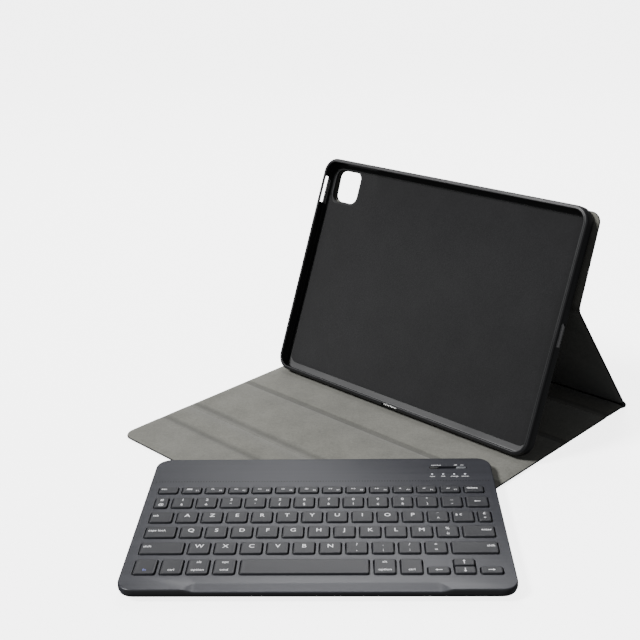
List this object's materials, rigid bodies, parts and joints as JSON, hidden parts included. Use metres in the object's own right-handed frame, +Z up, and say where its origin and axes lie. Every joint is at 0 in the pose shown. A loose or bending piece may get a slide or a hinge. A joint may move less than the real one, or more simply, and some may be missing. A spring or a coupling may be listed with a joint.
{
  "type": "tablet keyboard case",
  "caption": "Folding folio cover with a tablet tray propped on a folding stand, a wrap-over flap, and a slim separate wireless keyboard resting on its open cover.",
  "frame": {"origin": "on the table under the front lower edge of the tray, half way along the case", "axes": "+X along the case to the user's right, +Y away from the user, +Z up"},
  "size_m": [0.3381, 0.4205, 0.1757],
  "materials": {
    "pu_skin": "smooth grained synthetic leather, near black",
    "stiff_board": "pressed board, hidden",
    "microfibre": "short-pile warm grey microfibre",
    "tray_shell": "black moulded plastic, satin",
    "steel": "bright steel",
    "magnet": "nickel-plated magnet",
    "deck": "dark slate, finely brushed",
    "key_plastic": "dark slate keys, satin",
    "bottom_plastic": "black fine-textured plastic",
    "membrane": "silicone sheet, hidden",
    "circuit": "circuit board, hidden",
    "battery": "foil battery pouch, hidden",
    "light_pipe": "clear light pipe",
    "rubber": "black rubber feet",
    "control_dark": "dark push button",
    "control_light": "grey sliding switch"
  },
  "bodies": {
    "front_cover": {"front_cover_skin": "pu_skin", "front_cover_board": "stiff_board", "front_cover_lining": "microfibre"},
    "spine": {"spine_skin": "pu_skin", "spine_board": "stiff_board", "spine_lining": "microfibre"},
    "edge_strip": {"edge_strip_skin": "pu_skin", "edge_strip_lining": "microfibre"},
    "flap": {"flap_skin": "pu_skin", "flap_board": "stiff_board", "flap_lining": "microfibre", "flap_magnet_left": "magnet", "flap_magnet_right": "magnet"},
    "foot": {"foot_bar": "steel"},
    "tray": {"tray_shell": "tray_shell", "back_panel_skin": "pu_skin", "back_panel_board": "stiff_board", "back_panel_lining": "microfibre"},
    "strut": {"strut_skin": "pu_skin", "strut_board": "stiff_board", "strut_lining": "microfibre"},
    "keyboard": {"keyboard_deck": "deck", "keyboard_bottom": "bottom_plastic", "key_plate": "steel", "key_membrane": "membrane", "circuit_board": "circuit", "battery": "battery", "usb_socket": "steel", "light_pipe_bar": "light_pipe", "foot_front_left": "rubber", "foot_front_right": "rubber", "foot_back_left": "rubber", "foot_back_right": "rubber"},
    "power_slider": {"power_slider": "control_light"},
    "connect_button": {"connect_button": "control_dark"},
    "function_row_keys": {"function_row_keys": "key_plastic"},
    "home_row_keys": {"home_row_keys": "key_plastic"},
    "key_backspace": {"key_backspace": "key_plastic"},
    "key_caps": {"key_caps": "key_plastic"},
    "key_command": {"key_command": "key_plastic"},
    "key_ctrl_left": {"key_ctrl_left": "key_plastic"},
    "key_ctrl_right": {"key_ctrl_right": "key_plastic"},
    "key_delete": {"key_delete": "key_plastic"},
    "key_down": {"key_down": "key_plastic"},
    "key_enter": {"key_enter": "key_plastic"},
    "key_esc": {"key_esc": "key_plastic"},
    "key_fn": {"key_fn": "key_plastic"},
    "key_left": {"key_left": "key_plastic"},
    "key_option_left": {"key_option_left": "key_plastic"},
    "key_option_right": {"key_option_right": "key_plastic"},
    "key_right": {"key_right": "key_plastic"},
    "key_shift_left": {"key_shift_left": "key_plastic"},
    "key_shift_right": {"key_shift_right": "key_plastic"},
    "key_space": {"key_space": "key_plastic"},
    "key_tab": {"key_tab": "key_plastic"},
    "key_up": {"key_up": "key_plastic"},
    "lower_row_keys": {"lower_row_keys": "key_plastic"},
    "number_row_keys": {"number_row_keys": "key_plastic"},
    "upper_row_keys": {"upper_row_keys": "key_plastic"}
  },
  "joints": [
    {"name": "case_close", "type": "slide", "parent": "front_cover", "child": "foot", "axis": [0, 0.9956, 0.0938], "range_m": [0, 0.09136]},
    {"name": "case_close_tray_tilt", "type": "hinge", "parent": "foot", "child": "tray", "pos_m": [0, 0.00297, 0.00733], "axis": [1, 0, 0], "range_deg": [0, 112.3]},
    {"name": "case_close_strut_fold", "type": "hinge", "parent": "tray", "child": "strut", "pos_m": [0, 0.05608, 0.10402], "axis": [-1, 0, 0], "range_deg": [0, 61.23]},
    {"name": "case_close_spine_fold", "type": "hinge", "parent": "front_cover", "child": "spine", "pos_m": [0, 0.11, 0.00135], "axis": [1, 0, 0], "range_deg": [0, 80.5]},
    {"name": "keyboard_lift", "type": "slide", "parent": "front_cover", "child": "keyboard", "axis": [0, 0, 1], "range_m": [0, 0.25]},
    {"name": "keyboard_lift_strip_fold", "type": "hinge", "parent": "front_cover", "child": "edge_strip", "pos_m": [0, -0.089, 0.00135], "axis": [-1, 0, 0], "range_deg": [0, 80.5]},
    {"name": "keyboard_lift_flap_fold", "type": "hinge", "parent": "edge_strip", "child": "flap", "pos_m": [0, -0.1195, 0.00135], "axis": [-1, 0, 0], "range_deg": [0, 100.5]},
    {"name": "press_function_row_keys", "type": "slide", "parent": "keyboard", "child": "function_row_keys", "axis": [0, 0, -1], "range_m": [0, 0.001], "stiffness_N_per_m": 600},
    {"name": "press_home_row_keys", "type": "slide", "parent": "keyboard", "child": "home_row_keys", "axis": [0, 0, -1], "range_m": [0, 0.001], "stiffness_N_per_m": 600},
    {"name": "press_backspace", "type": "slide", "parent": "keyboard", "child": "key_backspace", "axis": [0, 0, -1], "range_m": [0, 0.001], "stiffness_N_per_m": 150},
    {"name": "press_caps", "type": "slide", "parent": "keyboard", "child": "key_caps", "axis": [0, 0, -1], "range_m": [0, 0.001], "stiffness_N_per_m": 150},
    {"name": "press_command", "type": "slide", "parent": "keyboard", "child": "key_command", "axis": [0, 0, -1], "range_m": [0, 0.001], "stiffness_N_per_m": 150},
    {"name": "press_ctrl_left", "type": "slide", "parent": "keyboard", "child": "key_ctrl_left", "axis": [0, 0, -1], "range_m": [0, 0.001], "stiffness_N_per_m": 150},
    {"name": "press_ctrl_right", "type": "slide", "parent": "keyboard", "child": "key_ctrl_right", "axis": [0, 0, -1], "range_m": [0, 0.001], "stiffness_N_per_m": 150},
    {"name": "press_delete", "type": "slide", "parent": "keyboard", "child": "key_delete", "axis": [0, 0, -1], "range_m": [0, 0.001], "stiffness_N_per_m": 150},
    {"name": "press_down", "type": "slide", "parent": "keyboard", "child": "key_down", "axis": [0, 0, -1], "range_m": [0, 0.001], "stiffness_N_per_m": 150},
    {"name": "press_enter", "type": "slide", "parent": "keyboard", "child": "key_enter", "axis": [0, 0, -1], "range_m": [0, 0.001], "stiffness_N_per_m": 150},
    {"name": "press_esc", "type": "slide", "parent": "keyboard", "child": "key_esc", "axis": [0, 0, -1], "range_m": [0, 0.001], "stiffness_N_per_m": 150},
    {"name": "press_fn", "type": "slide", "parent": "keyboard", "child": "key_fn", "axis": [0, 0, -1], "range_m": [0, 0.001], "stiffness_N_per_m": 150},
    {"name": "press_left", "type": "slide", "parent": "keyboard", "child": "key_left", "axis": [0, 0, -1], "range_m": [0, 0.001], "stiffness_N_per_m": 150},
    {"name": "press_option_left", "type": "slide", "parent": "keyboard", "child": "key_option_left", "axis": [0, 0, -1], "range_m": [0, 0.001], "stiffness_N_per_m": 150},
    {"name": "press_option_right", "type": "slide", "parent": "keyboard", "child": "key_option_right", "axis": [0, 0, -1], "range_m": [0, 0.001], "stiffness_N_per_m": 150},
    {"name": "press_right", "type": "slide", "parent": "keyboard", "child": "key_right", "axis": [0, 0, -1], "range_m": [0, 0.001], "stiffness_N_per_m": 150},
    {"name": "press_shift_left", "type": "slide", "parent": "keyboard", "child": "key_shift_left", "axis": [0, 0, -1], "range_m": [0, 0.001], "stiffness_N_per_m": 150},
    {"name": "press_shift_right", "type": "slide", "parent": "keyboard", "child": "key_shift_right", "axis": [0, 0, -1], "range_m": [0, 0.001], "stiffness_N_per_m": 150},
    {"name": "press_space", "type": "slide", "parent": "keyboard", "child": "key_space", "axis": [0, 0, -1], "range_m": [0, 0.001], "stiffness_N_per_m": 150},
    {"name": "press_tab", "type": "slide", "parent": "keyboard", "child": "key_tab", "axis": [0, 0, -1], "range_m": [0, 0.001], "stiffness_N_per_m": 150},
    {"name": "press_up", "type": "slide", "parent": "keyboard", "child": "key_up", "axis": [0, 0, -1], "range_m": [0, 0.001], "stiffness_N_per_m": 150},
    {"name": "press_lower_row_keys", "type": "slide", "parent": "keyboard", "child": "lower_row_keys", "axis": [0, 0, -1], "range_m": [0, 0.001], "stiffness_N_per_m": 600},
    {"name": "press_number_row_keys", "type": "slide", "parent": "keyboard", "child": "number_row_keys", "axis": [0, 0, -1], "range_m": [0, 0.001], "stiffness_N_per_m": 600},
    {"name": "press_upper_row_keys", "type": "slide", "parent": "keyboard", "child": "upper_row_keys", "axis": [0, 0, -1], "range_m": [0, 0.001], "stiffness_N_per_m": 600},
    {"name": "press_zz_connect", "type": "slide", "parent": "keyboard", "child": "connect_button", "axis": [0, 0, -1], "range_m": [0, 0.0003], "stiffness_N_per_m": 300},
    {"name": "slide_power", "type": "slide", "parent": "keyboard", "child": "power_slider", "axis": [-0.7385, -0.6743, 0], "range_m": [0, 0.003]}
  ],
  "couplings": [
    {"joint": "case_close_tray_tilt", "follows": "case_close", "rad_per_m": 21.359},
    {"joint": "case_close_strut_fold", "follows": "case_close", "rad_per_m": 11.602},
    {"joint": "case_close_spine_fold", "follows": "case_close", "rad_per_m": 15.283},
    {"joint": "keyboard_lift_strip_fold", "follows": "keyboard_lift", "rad_per_m": 5.585},
    {"joint": "keyboard_lift_flap_fold", "follows": "keyboard_lift", "rad_per_m": 6.9813}
  ]
}
